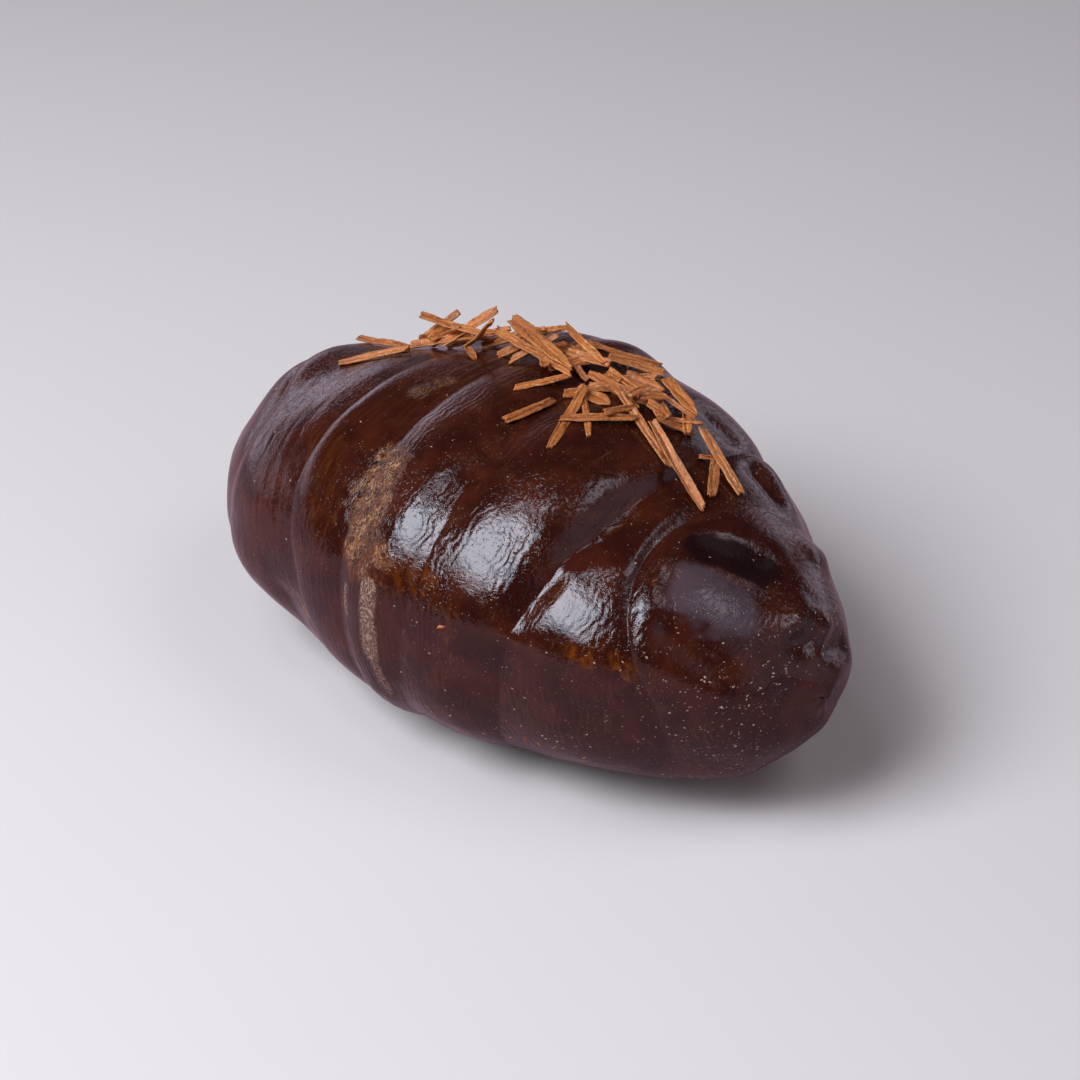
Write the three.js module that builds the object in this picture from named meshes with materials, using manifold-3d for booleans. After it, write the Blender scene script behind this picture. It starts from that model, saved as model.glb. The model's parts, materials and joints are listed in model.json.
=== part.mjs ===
// Chocolate cheese salt bread: a plump loaf rolled from one long strip of dough, glazed with
// dark chocolate, with a loose heap of crisp light shreds along its ridge.
// Millimetres, +Z up. The loaf lies along X, its blunt end at -X and its pointed end at +X.
// The origin is on the surface it rests on, below the middle of its box.
// It is one solid: the wraps, seams and folds are relief, and the shreds are fused to it.

import * as THREE from "three";
import { mergeVertices } from "three/addons/utils/BufferGeometryUtils.js";
import Module from "manifold-3d";

// Loaf: the plain shape that the wraps are laid on
const LENGTH = 125;
const WIDTH = 79;
const HEIGHT = 56.5;
const WIDEST_AT = -1.5;
const BELLY_HEIGHT = 28.5;
const FLATTENED = 1.0;
// Superellipse powers of the cross-section above and below the belly
const CROWN = 2.25;
const HEEL = 2.55;
// Half of the line inside the loaf that the relief is pushed away from
const SPINE = 26;
// Height above the ground over which the relief comes in
const RELIEF_FROM = 1;
const RELIEF_FULL = 15;

// Ends: how blunt the outline is, how width, height and underside narrow, and the tip's height
const FAR_END = { blunt: 2.05, wide: 0.31, tall: 0.66, under: 0.27, tip: 31 };
const NEAR_END = { blunt: 1.38, wide: 0.53, tall: 0.53, under: 0.3, tip: 27.5 };

// Seams between the wraps, from the blunt end: place along X, lean and wobble of the line,
// the way its lip faces, the lip's lift and radius, the angle round the loaf where the lift is
// strongest (0 at the -Y side, 90 on the ridge), its spread and its least share, and how far
// the wrap after the seam bulges
const SEAMS = [
  { at: -48, lean: -3.5, wobble: 2, faces: -1, lift: 0.7, lip: 3.5,
    strong: 60, spread: 80, least: 0.6, belly: 0.3 },
  { at: -22, lean: -7, wobble: 1.9, faces: -1, lift: 0.55, lip: 2.2,
    strong: 0, spread: 90, least: 0.6, belly: 0.1 },
  { at: -9, lean: -5.9, wobble: 0.5, faces: -1, lift: 0.4, lip: 4,
    strong: 20, spread: 80, least: 0.5, belly: 0.9 },
  { at: 3.5, lean: -1.1, wobble: 2.9, faces: -1, lift: 0.5, lip: 9,
    strong: 55, spread: 60, least: 0.45, belly: 0.9 },
  { at: 22, lean: 4, wobble: 0, faces: 1, lift: 3, lip: 3.6,
    strong: 78, spread: 28, least: 0.2, belly: 0.9 },
  { at: 42.6, lean: -4.3, wobble: -4.2, faces: -1, lift: 1.2, lip: 5,
    strong: 60, spread: 45, least: 0.3, belly: 0 },
];
const FAR_CAP_LIFT = 0.8;
const NEAR_CAP_LIFT = 1.0;
const WRAP_ROUND = 1.25;
const SWELL = 0.5;

// Bumps and dents: each follows a short line from one point to another, with a reach round it
// and a height, which is negative for a dent
const FOLDS = [
  { from: [-56, -8, 41], to: [-53, 4, 44], reach: 9, height: 2.6 },
  { from: [-46, 16, 48], to: [-34, 16, 53], reach: 11, height: -3.2 },
  { from: [-24, 27, 51], to: [-12, 29, 50], reach: 10, height: 2.2 },
  { from: [2, 30, 48], to: [20, 30, 46], reach: 10, height: 1.2 },
  { from: [-42, -34, 21], to: [-49, -30, 23], reach: 9, height: 1.8 },
  { from: [-27.5, -37, 14], to: [-28, -38, 20], reach: 4, height: -1.4 },
  { from: [62, 8, 15], to: [60, 1, 13], reach: 6.5, height: -2 },
  { from: [54, -10, 10], to: [45, -17, 8], reach: 5.5, height: 1.8 },
  { from: [38, -26, 36], to: [41, -23, 37], reach: 6.5, height: 1.2 },
  { from: [41, -4, 48.5], to: [47, 2, 44], reach: 4.2, height: -2 },
  { from: [40, -12, 46], to: [40, -13, 45.5], reach: 2.4, height: -0.9 },
  { from: [38.5, -14.5, 45], to: [40.5, -18.5, 41], reach: 1.8, height: 0.5 },
  { from: [44.8, -18, 40.3], to: [52, -14.5, 35.4], reach: 2, height: -1 },
  { from: [46.5, -10.5, 44], to: [48.5, -9.5, 42.5], reach: 5, height: 0.7 },
  { from: [60.3, -7, 29.5], to: [62.5, -3, 24], reach: 2.6, height: -1.3 },
  { from: [58.2, -1.4, 37], to: [59.5, 7, 32], reach: 2.4, height: -1.2 },
  { from: [27.3, -14, 48], to: [27.8, -9, 49.5], reach: 3.4, height: -1.2 },
  { from: [18, 22, 51.5], to: [22, 23, 49.5], reach: 2.4, height: -1.8 },
  { from: [30.5, 20, 46.5], to: [35.5, 20.5, 44.5], reach: 2.4, height: -2.2 },
  { from: [34, 28, 40], to: [39, 26.5, 37], reach: 4.5, height: -1.1 },
  { from: [-32, -33, 12], to: [-38, -35, 16], reach: 6, height: -0.9 },
  { from: [-52.2, -6, 45], to: [-51, -2.5, 46], reach: 5.5, height: 2 },
  { from: [29, 22, 45.5], to: [30, 22, 45], reach: 4, height: 0.8 },
  { from: [46, 15.5, 39.8], to: [46.2, 17, 38.6], reach: 3.2, height: 1.3 },
  { from: [61.2, 7, 27.5], to: [60.5, 9, 28], reach: 3.5, height: 1 },
  { from: [20, -32.5, 38], to: [22, -31.5, 38.5], reach: 7, height: 0.5 },
  { from: [54, 4, 39.5], to: [55.5, -1, 37.5], reach: 1.8, height: 0.8 },
  { from: [57, 6, 37], to: [59, 1, 34], reach: 1.8, height: 0.9 },
  { from: [26.5, -18, 49], to: [25.5, -21, 48], reach: 2.4, height: -1.2 },
  { from: [25.5, -26, 45], to: [24, -31, 40], reach: 2.6, height: -1.3 },
];

// How finely the loaf is faceted
const FACETS_AROUND = 42;
const FACETS_IN_WRAP = 4;
const FACETS_IN_FAR_END = 9;
const FACETS_IN_NEAR_END = 12;

// Shreds: thickness, how deep each sinks into what carries it, how much deeper where it would
// only brush the loaf or another shred, how much of its width a full curl lifts its edges, and
// the heading that they lie across, with how much and with what share they lean that way rather
// than with the loaf, and the share of a shred's length and width that others can lie on
const SHRED_THICKNESS = 0.9;
const SHRED_SINK = 0.3;
const SHRED_PRESS = 0.15;
const SHRED_BITE = 0.3;
const SHRED_CURL = 0.35;
const SHREDS_FACE = 44.5;
const SHRED_LEAN = 1.45;
const SHRED_LEAN_SHARE = 0.5;
const SHRED_BEARS = 0.75;
const SHRED_STATIONS = 13;
const SHRED_FACETS = 3;

// Shreds that stand out: x and y of the middle, heading in degrees, length, width, curl from 0,
// flat, to 1, a trough, and how high its first and last end lie over the loaf
const PLACED_SHREDS = [
  [-40.5, -2.9, 31, 14, 1.8, 0.3, 0.3, 0.8],
  [-46.1, 4.5, -6, 17, 1.2, 0.3, 2.7, 1.5],
  [-31.2, 7.9, 29, 17, 1.8, 0.6, 1, 4],
  [-38.4, 1.2, 27, 5, 1.1, 0.2, 0.1, 0.1],
  [-32, 8.4, 1, 17, 1.7, 0.5, 8.5, 5],
  [-36.1, 10, 74, 10, 1.5, 0.6, 4.4, 3.5],
  [-34.3, 8.4, 92, 7, 1.6, 0.5, 4.4, 7],
  [-33.7, 12.5, 79, 7, 1.1, 0.3, 4, 5],
  [-22.5, 4.3, -28, 5, 1.3, 0.8, 3, 1.9],
  [-24.6, 10.6, 40, 4, 1.3, 0.9, 6.3, 6.3],
  [-27.1, 12.6, 112, 11, 1.6, 0.4, 2.9, 0.5],
  [-10.5, 10, -12, 21, 2.6, 0.2, 6, 2.9],
  [-10.6, 7.7, -3, 21, 1.8, 0.4, 3.9, 2],
  [5.7, 5.9, -3, 9, 2.6, 0.3, 3.4, 3],
  [-17.9, 14.9, 18, 6, 1.4, 0.3, 4.9, 5],
  [-13.5, 15.2, 57, 6, 1.1, 0.5, 5.5, 5.5],
  [-5.4, 15.3, -15, 14, 1.4, 0.4, 6, 4.4],
  [-12.2, 14.3, 81, 6, 1, 0.4, 5, 5.5],
  [-8.9, 14.3, 35, 8, 1.2, 0.5, 4.4, 3.9],
  [-11.4, 20.2, 71, 6, 0.7, 0.2, 6, 6],
  [-8.7, 20.4, 62, 4, 1.5, 0.9, 4, 2.9],
  [-2.2, 10.9, -11, 4, 1.1, 0.5, 4, 3],
  [-3.7, 25.4, 56, 12, 1, 0.2, 2, 1.9],
  [-0.2, 22.9, 53, 11, 2.2, 0.3, 2.9, 2],
  [7.1, 12.7, -12, 12, 1.4, 0.6, 4.5, 3.5],
  [5.8, 9.9, -7, 13, 1.6, 0.4, 2.9, 2.5],
  [12.7, 9.7, 96, 7, 1.2, 0.5, 3, 3],
  [7.4, 17, 23, 8, 2.4, 0.2, 2.9, 2.4],
  [13.9, 11.2, 73, 5, 1.7, 0.3, 2.4, 1.9],
  [15.4, 10.6, 31, 3, 1.5, 0.3, 1.9, 1.4],
  [15.7, 15.3, 13, 9, 0.9, 0.3, 1.9, 1.8],
  [19.6, 13.3, 54, 7, 0.8, 0.3, 1, 2.4],
  [15, 17.9, -19, 12, 2.3, 0.4, 2.4, 2.4],
  [18.1, 4.9, -14, 17, 1.5, 0.3, 2.4, 0.2],
  [12.2, 0.1, 47, 14, 1.5, 0.2, 1, 1.9],
  [13.8, 3.6, 76, 7, 1.1, 0.2, 2, 2],
  [19.7, 11, 56, 7, 1.5, 0.3, 1.4, 0.3],
  [26.6, 3.9, -9, 16, 1.9, 1, 3, 0.2],
  [28.6, 12.6, -16, 13.5, 1.9, 0.3, 2.5, 0.3],
  [30, 9.4, -52, 11, 1.9, 0.1, 0.5, 0.3],
  [26.2, 12.5, 55, 4, 0.9, 0.2, 0.2, 0.9],
  [-3.4, 2.2, 68, 11, 1.2, 0.7, 0.4, 1.9],
  [0.2, -4.4, 84, 11.5, 1.7, 0.2, 0.3, 0.5],
  [2.5, 5.9, 56, 6.5, 1.7, 0.5, 2.4, 1.9],
  [7.9, -2.6, 116, 20, 1.8, 0.3, 0.2, 1.9],
  [9.4, -0.3, -43, 13, 1.2, 0.3, 1, 0.3],
  [-7.7, 12.9, 89, 4, 1, 0.4, 3, 3.9],
  [-15.7, 15.3, 10, 7, 1.4, 0.4, 4.9, 3.9],
  [7.7, 9.9, -20, 15, 1.3, 0.5, 2.9, 2],
];

// The rest of the heap: strewn along a line over the ridge, one end low and the other propped up,
// less so towards the pointed end
const STREWN_SHREDS = 20;
const STREWN_FROM = [-37, 11];
const STREWN_TO = [20, 15];
const STREWN_ASIDE = 4;
const STREWN_TURN = 65;
const STREWN_LENGTH = [7, 13];
const STREWN_WIDTH = [1.4, 2.3];
const STREWN_CURL = [0.2, 1.0];
const STREWN_LOW = [0.2, 1.5];
const STREWN_HIGH = [3, 8.5];
const STREWN_FALL = 0.8;
const STREWN_SEED = 1746;

// The plan that the heights of the loaf and heap are kept on
const PLAN = { west: -58, east: 48, south: -30, north: 40, cell: 0.5 };

const radians = THREE.MathUtils.degToRad;
const clamp = THREE.MathUtils.clamp;
const lerp = THREE.MathUtils.lerp;

const HALF = LENGTH / 2;
const SEAM_PLACES = [-HALF, ...SEAMS.map((seam) => seam.at), HALF];
const SEAM_LEANS = [0, ...SEAMS.map((seam) => seam.lean), 0];
const SEAM_WOBBLES = [0, ...SEAMS.map((seam) => seam.wobble), 0];

// Value at a station, from values given at the seams and tips
function between(station, values) {
  const last = SEAM_PLACES.length - 2;
  let k = 0;
  while (k < last && station > SEAM_PLACES[k + 1]) {
    k += 1;
  }
  const share = (station - SEAM_PLACES[k]) / (SEAM_PLACES[k + 1] - SEAM_PLACES[k]);
  return lerp(values[k], values[k + 1], clamp(share, 0, 1));
}

// Point of the plain loaf at a place along X and an angle round it, and the belly's height there
function plainLoaf(x, angle) {
  const end = x < WIDEST_AT ? FAR_END : NEAR_END;
  const room = x < WIDEST_AT ? HALF + WIDEST_AT : HALF - WIDEST_AT;
  const reach = clamp(Math.abs(x - WIDEST_AT) / room, 0, 1);
  const left = 1 - reach ** end.blunt;
  const middle = BELLY_HEIGHT + (end.tip - BELLY_HEIGHT) * reach ** 3;
  const across = Math.cos(angle);
  const aloft = Math.sin(angle);
  const power = 2 / (aloft >= 0 ? CROWN : HEEL);
  const y = -WIDTH / 2 * left ** end.wide * Math.sign(across) * Math.abs(across) ** power;
  const rise = Math.abs(aloft) ** power;
  const above = (HEIGHT - BELLY_HEIGHT) * left ** end.tall * rise;
  const below = middle * left ** end.under * rise;
  return { point: new THREE.Vector3(x, y, aloft >= 0 ? middle + above : middle - below), middle };
}

// Quarter-round rise from 0 to 1
function rounded(share) {
  const s = 1 - clamp(share, 0, 1);
  return Math.sqrt(Math.max(1 - s * s, 0));
}

// Lift of a seam's lip at an angle round the loaf
function seamLift(seam, angle) {
  const past = THREE.MathUtils.radToDeg(angle) - seam.strong;
  const turn = THREE.MathUtils.euclideanModulo(past + 180, 360) - 180;
  return seam.lift * (seam.least + (1 - seam.least) * Math.exp(-((turn / seam.spread) ** 2)));
}

// Lift by a wrap's two lips, at a share of the way from its first seam to its second
function lipHeight(first, second, share, firstLift, secondLift, firstEdge, secondEdge) {
  if (first.faces < 0 && second.faces > 0) {
    return lerp(firstLift, secondLift, share) * firstEdge * secondEdge;
  }
  if (first.faces < 0) {
    return firstLift * firstEdge * (1 - share ** 2.2);
  }
  if (second.faces > 0) {
    return secondLift * secondEdge * (1 - (1 - share) ** 2.2);
  }
  return 0;
}

// Height of the wraps above the plain loaf
function wrapHeight(station, angle) {
  const last = SEAMS.length;
  let band = 0;
  while (band < last && station > SEAM_PLACES[band + 1]) {
    band += 1;
  }
  const start = SEAM_PLACES[band];
  const stop = SEAM_PLACES[band + 1];
  const share = clamp((station - start) / (stop - start), 0, 1);
  if (band === 0) {
    return FAR_CAP_LIFT * (1 - share ** 3);
  }
  const first = SEAMS[band - 1];
  const firstLift = seamLift(first, angle);
  const firstEdge = rounded((station - start) / first.lip);
  if (band === last) {
    return lerp(firstLift, NEAR_CAP_LIFT, share) * firstEdge;
  }
  const second = SEAMS[band];
  const secondLift = seamLift(second, angle);
  const secondEdge = rounded((stop - station) / second.lip);
  const bulge = first.belly * Math.sin(Math.PI * share) ** WRAP_ROUND;
  return bulge + lipHeight(first, second, share, firstLift, secondLift, firstEdge, secondEdge);
}

const FOLD_LINES = FOLDS.map((fold) => ({
  line: new THREE.Line3(new THREE.Vector3(...fold.from), new THREE.Vector3(...fold.to)),
  reach: fold.reach,
  height: fold.height,
}));

// Height of the bumps and dents near a point
function foldHeight(point) {
  const nearest = new THREE.Vector3();
  let height = 0;
  for (const fold of FOLD_LINES) {
    fold.line.closestPointToPoint(point, true, nearest);
    height += fold.height * Math.exp(-((nearest.distanceTo(point) / fold.reach) ** 2));
  }
  return height;
}

// Slow swelling of soft dough
function swell(x, angle) {
  return SWELL * Math.sin(0.21 * x + 1.3 * Math.sin(angle) + 0.6) * Math.sin(2 * angle + 0.05 * x + 0.5);
}

// Point of the finished loaf at a station along it and an angle round it
function loafPoint(station, angle) {
  const lean = between(station, SEAM_LEANS) * Math.sin(angle);
  const wobble = between(station, SEAM_WOBBLES) * Math.sin(2 * angle + 0.12 * station);
  const x = station + lean + wobble;
  const { point, middle } = plainLoaf(x, angle);
  const outward = new THREE.Vector3(clamp(x, -SPINE, SPINE), 0, middle);
  outward.subVectors(point, outward).normalize();
  const offTheGround = clamp((point.z - RELIEF_FROM) / (RELIEF_FULL - RELIEF_FROM), 0, 1);
  const height = wrapHeight(station, angle) + swell(x, angle) + foldHeight(point);
  point.addScaledVector(outward, height * offTheGround);
  point.z = Math.max(point.z * (1 + FLATTENED / HEIGHT) - FLATTENED, 0);
  return point;
}

// Stations along the loaf: closest at the tips and at the foot of each lip
function loafStations() {
  const stations = [];
  const first = SEAMS[0].at;
  const last = SEAMS[SEAMS.length - 1].at;
  for (let k = 1; k < FACETS_IN_FAR_END; k += 1) {
    stations.push(-HALF + (first + HALF) * (k / FACETS_IN_FAR_END) ** (1 / FAR_END.wide));
  }
  SEAMS.forEach((seam, k) => {
    stations.push(seam.at);
    if (k === SEAMS.length - 1) {
      return;
    }
    const next = SEAMS[k + 1];
    let start = seam.at;
    let stop = next.at;
    if (seam.faces < 0) {
      stations.push(start + 0.12 * seam.lip, start + 0.45 * seam.lip);
      start += 0.45 * seam.lip;
    }
    if (next.faces > 0) {
      stop -= 0.45 * next.lip;
    }
    for (let step = 1; step < FACETS_IN_WRAP; step += 1) {
      stations.push(lerp(start, stop, step / FACETS_IN_WRAP));
    }
    if (next.faces > 0) {
      stations.push(stop, next.at - 0.12 * next.lip);
    }
  });
  for (let k = FACETS_IN_NEAR_END - 1; k > 0; k -= 1) {
    stations.push(HALF - (HALF - last) * (k / FACETS_IN_NEAR_END) ** (1 / NEAR_END.wide));
  }
  return stations;
}

// Faces of the wall between rings of points, which run clockwise seen along the way they go
function wallFaces(ringCount, count) {
  const faces = [];
  for (let ring = 0; ring < ringCount - 1; ring += 1) {
    for (let k = 0; k < count; k += 1) {
      const a = ring * count + k;
      const b = ring * count + (k + 1) % count;
      faces.push(a, b, b + count, a, b + count, a + count);
    }
  }
  return faces;
}

function meshFrom(points, faces) {
  return new THREE.BufferGeometry().setFromPoints(points).setIndex(faces);
}

// The loaf as rings round it, shut by a point at each tip
function loafGeometry() {
  const rings = loafStations().map((station) => {
    const ring = [];
    for (let k = 0; k < FACETS_AROUND; k += 1) {
      ring.push(loafPoint(station, -2 * Math.PI * k / FACETS_AROUND));
    }
    return ring;
  });
  const faces = wallFaces(rings.length, FACETS_AROUND);
  const farTip = rings.length * FACETS_AROUND;
  const lastRing = farTip - FACETS_AROUND;
  for (let k = 0; k < FACETS_AROUND; k += 1) {
    const next = (k + 1) % FACETS_AROUND;
    faces.push(farTip, next, k);
    faces.push(farTip + 1, lastRing + k, lastRing + next);
  }
  return meshFrom([...rings.flat(), loafPoint(-HALF, 0), loafPoint(HALF, 0)], faces);
}

// Heights over the plan, which each shred raises as it is laid
class Heights {
  constructor() {
    this.columns = Math.round((PLAN.east - PLAN.west) / PLAN.cell) + 1;
    this.rows = Math.round((PLAN.north - PLAN.south) / PLAN.cell) + 1;
    this.values = new Float64Array(this.columns * this.rows);
  }

  index(x, y) {
    const column = clamp(Math.round((x - PLAN.west) / PLAN.cell), 0, this.columns - 1);
    const row = clamp(Math.round((y - PLAN.south) / PLAN.cell), 0, this.rows - 1);
    return column * this.rows + row;
  }

  at(x, y) {
    return this.values[this.index(x, y)];
  }

  raise(x, y, z) {
    const k = this.index(x, y);
    this.values[k] = Math.max(this.values[k], z);
  }

  copy() {
    const twin = new Heights();
    twin.values.set(this.values);
    return twin;
  }
}

function loafHeights() {
  const heights = new Heights();
  const along = 800;
  const around = 600;
  for (let i = 0; i < along; i += 1) {
    const station = lerp(PLAN.west, PLAN.east, i / (along - 1));
    for (let k = 0; k < around; k += 1) {
      const point = loafPoint(station, radians(lerp(20, 160, k / (around - 1))));
      heights.raise(point.x, point.y, point.z);
    }
  }
  return heights;
}

// A seeded random generator: the same draws on every run
function seededDraw(seed) {
  let state = seed;
  return (low = 0, high = 1) => {
    state = state * 48271 % 2147483647;
    return low + (high - low) * state / 2147483647;
  };
}

function strewnShreds() {
  const draw = seededDraw(STREWN_SEED);
  const run = new THREE.Vector2(STREWN_TO[0] - STREWN_FROM[0], STREWN_TO[1] - STREWN_FROM[1]);
  const heading = THREE.MathUtils.radToDeg(Math.atan2(run.y, run.x));
  const shreds = [];
  for (let k = 0; k < STREWN_SHREDS; k += 1) {
    const share = (k + draw()) / STREWN_SHREDS;
    const x = STREWN_FROM[0] + run.x * share;
    const y = STREWN_FROM[1] + run.y * share + draw(-STREWN_ASIDE, STREWN_ASIDE);
    const turn = heading + draw(-STREWN_TURN, STREWN_TURN);
    const spreads = [STREWN_LENGTH, STREWN_WIDTH, STREWN_CURL, STREWN_LOW];
    const high = draw(...STREWN_HIGH) * (1 - STREWN_FALL * share);
    shreds.push([x, y, turn, ...spreads.map((spread) => draw(...spread)), high]);
  }
  return shreds;
}

// Lays one stiff shred, lowered where it would hang clear of the loaf and of the shreds below
// it, and raises the heights under it
function layShred(shred, loaf, heap) {
  const [x, y, heading, length, width, curl, start, stop] = shred;
  const along = new THREE.Vector2(Math.cos(radians(heading)), Math.sin(radians(heading)));
  const place = (spot, side) => [x + spot * along.x - side * along.y, y + spot * along.y + side * along.x];
  const last = SHRED_STATIONS - 1;
  const spots = [];
  for (let k = 0; k <= last; k += 1) {
    spots.push((k / last - 0.5) * length);
  }
  const edge = SHRED_BEARS * width / 2;
  let slope = 0;
  for (const spot of spots) {
    slope += (loaf.at(...place(spot, edge)) - loaf.at(...place(spot, -edge))) / (2 * edge * SHRED_STATIONS);
  }
  const facing = SHRED_LEAN * Math.cos(radians(heading - SHREDS_FACE));
  const tilt = clamp(lerp(slope, facing, SHRED_LEAN_SHARE), -1, 1);
  const ground = spots.map((spot) => Math.max(
    ...[-edge, 0, edge].map((side) => loaf.at(...place(spot, side)) - tilt * side),
  ));
  const line = spots.map((spot, k) => lerp(ground[0] + start, ground[last] + stop, k / last));
  let rise = Math.max(0, ...line.map((z, k) => ground[k] - z));
  const curled = (side) => 2 * Math.abs(side) * SHRED_CURL * curl;
  const reach = SHRED_BEARS * length / 2;
  let clear = Infinity;
  for (const side of [-edge, 0, edge]) {
    spots.forEach((spot, k) => {
      const loafTop = loaf.at(...place(spot, side));
      const heapTop = Math.abs(spot) <= reach ? heap.at(...place(spot, side)) : 0;
      const carrier = Math.max(loafTop - SHRED_PRESS, heapTop - SHRED_BITE);
      clear = Math.min(clear, line[k] + rise + tilt * side + curled(side) - carrier);
    });
  }
  rise -= Math.max(0, clear);
  const path = spots.map((spot, k) => new THREE.Vector3(...place(spot, 0), line[k] + rise));
  for (let spot = -reach; spot <= reach; spot += PLAN.cell / 2) {
    const share = spot / length + 0.5;
    for (let side = -edge; side <= edge; side += PLAN.cell / 2) {
      const z = lerp(path[0].z, path[last].z, share) + tilt * side;
      heap.raise(...place(spot, side), z + SHRED_THICKNESS - SHRED_SINK);
    }
  }
  const across = new THREE.Vector3(-along.y, along.x, tilt).normalize();
  return { path, across, width, curl };
}

// A shred's solid: a thin strip along its path, its edges lifted by the curl
function shredGeometry({ path, across, width, curl }) {
  const rings = [];
  const last = path.length - 1;
  for (let k = 0; k <= SHRED_FACETS; k += 1) {
    const step = k / SHRED_FACETS * last;
    const from = Math.min(Math.floor(step), last - 1);
    const middle = new THREE.Vector3().lerpVectors(path[from], path[from + 1], step - from);
    middle.z += SHRED_THICKNESS / 2 - SHRED_SINK;
    const along = new THREE.Vector3().subVectors(path[from + 1], path[from]).normalize();
    const up = new THREE.Vector3().crossVectors(along, across).normalize();
    const half = width / 2 * (1 - 0.3 * Math.abs(2 * k / SHRED_FACETS - 1) ** 4);
    const corner = (side, layer) => middle.clone()
      .addScaledVector(across, side * half)
      .addScaledVector(up, layer * SHRED_THICKNESS / 2 + Math.abs(side) * SHRED_CURL * curl * width);
    rings.push([corner(-1, -1), corner(0, -1), corner(1, -1), corner(1, 1), corner(0, 1), corner(-1, 1)]);
  }
  const count = rings[0].length;
  const faces = wallFaces(rings.length, count);
  const end = SHRED_FACETS * count;
  for (const [a, b, c] of [[0, 1, 4], [0, 4, 5], [1, 2, 3], [1, 3, 4]]) {
    faces.push(a, c, b, end + a, end + b, end + c);
  }
  return meshFrom(rings.flat(), faces);
}

const wasm = await Module();
wasm.setup();

// A closed mesh as a solid that can be joined
function solidFrom(geometry) {
  const merged = mergeVertices(geometry);
  return new wasm.Manifold(new wasm.Mesh({
    numProp: 3,
    vertProperties: new Float32Array(merged.attributes.position.array),
    triVerts: new Uint32Array(merged.index.array),
  }));
}

// A joined solid as a geometry again
function geometryFrom(solid) {
  const mesh = solid.getMesh();
  const geometry = new THREE.BufferGeometry();
  geometry.setAttribute("position", new THREE.BufferAttribute(mesh.vertProperties, 3));
  geometry.setIndex(new THREE.BufferAttribute(mesh.triVerts, 1));
  return geometry;
}

function breadGeometry() {
  const loaf = loafHeights();
  const heap = loaf.copy();
  const shreds = [...strewnShreds(), ...PLACED_SHREDS];
  const aloft = ([, , , , , , start, stop]) => start + stop;
  shreds.sort((a, b) => aloft(a) - aloft(b));
  let solid = solidFrom(loafGeometry());
  for (const shred of shreds) {
    solid = solid.add(solidFrom(shredGeometry(layShred(shred, loaf, heap))));
  }
  // What the shreds shut in between them is filled
  const [outer] = solid.decompose().sort((a, b) => b.volume() - a.volume());
  const geometry = geometryFrom(outer);
  geometry.computeBoundingBox();
  const centre = geometry.boundingBox.getCenter(new THREE.Vector3());
  geometry.translate(-centre.x, -centre.y, 0);
  return geometry;
}

const chocolate = new THREE.MeshStandardMaterial({ color: 0x341810, roughness: 0.28, metalness: 0 });

const bread = new THREE.Group();
const saltBread = new THREE.Mesh(breadGeometry(), chocolate);
saltBread.name = "salt_bread";
bread.add(saltBread);

export default bread;
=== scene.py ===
"""Looks of the chocolate cheese salt bread: the glazed loaf, the crisp shreds on it, and the small
pale specks and crumbs, with a pale floor, soft studio light and the camera.

Shapes are worked out in millimetres from the same driving dimensions as the part, and made in metres.
"""

import json
import math

import bpy
import numpy as np
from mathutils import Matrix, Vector

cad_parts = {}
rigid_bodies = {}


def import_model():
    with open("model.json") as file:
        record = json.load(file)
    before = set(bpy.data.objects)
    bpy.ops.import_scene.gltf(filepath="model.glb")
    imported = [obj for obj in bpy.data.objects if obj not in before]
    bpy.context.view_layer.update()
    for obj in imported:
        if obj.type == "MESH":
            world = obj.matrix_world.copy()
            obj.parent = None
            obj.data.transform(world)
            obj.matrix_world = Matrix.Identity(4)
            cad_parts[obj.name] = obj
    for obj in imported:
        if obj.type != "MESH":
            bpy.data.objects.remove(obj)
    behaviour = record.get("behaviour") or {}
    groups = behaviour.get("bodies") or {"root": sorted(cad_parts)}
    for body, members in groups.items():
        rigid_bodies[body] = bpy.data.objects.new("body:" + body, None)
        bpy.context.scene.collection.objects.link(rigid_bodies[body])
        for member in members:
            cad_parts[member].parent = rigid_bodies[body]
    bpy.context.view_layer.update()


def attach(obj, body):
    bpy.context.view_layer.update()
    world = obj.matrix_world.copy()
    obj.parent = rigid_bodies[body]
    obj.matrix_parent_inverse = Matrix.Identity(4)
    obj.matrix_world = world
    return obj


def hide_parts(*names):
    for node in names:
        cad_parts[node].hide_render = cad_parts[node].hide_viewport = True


MM = 0.001

for leftover in list(bpy.data.objects):
    bpy.data.objects.remove(leftover)

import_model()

# Loaf: the plain shape that the wraps are laid on
LENGTH = 125.0
WIDTH = 79.0
HEIGHT = 56.5
WIDEST_AT = -1.5
BELLY_HEIGHT = 28.5
FLATTENED = 1.0
CROWN = 2.25
HEEL = 2.55
SPINE = 26.0
RELIEF_FROM = 1.0
RELIEF_FULL = 15.0
TIP_CLEAR = 2.0
TIP_FADE = 14.0
HALF = LENGTH / 2
FAR_END = dict(blunt=2.05, wide=0.31, tall=0.66, under=0.27, tip=31.0)
NEAR_END = dict(blunt=1.38, wide=0.53, tall=0.53, under=0.30, tip=27.5)

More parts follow.
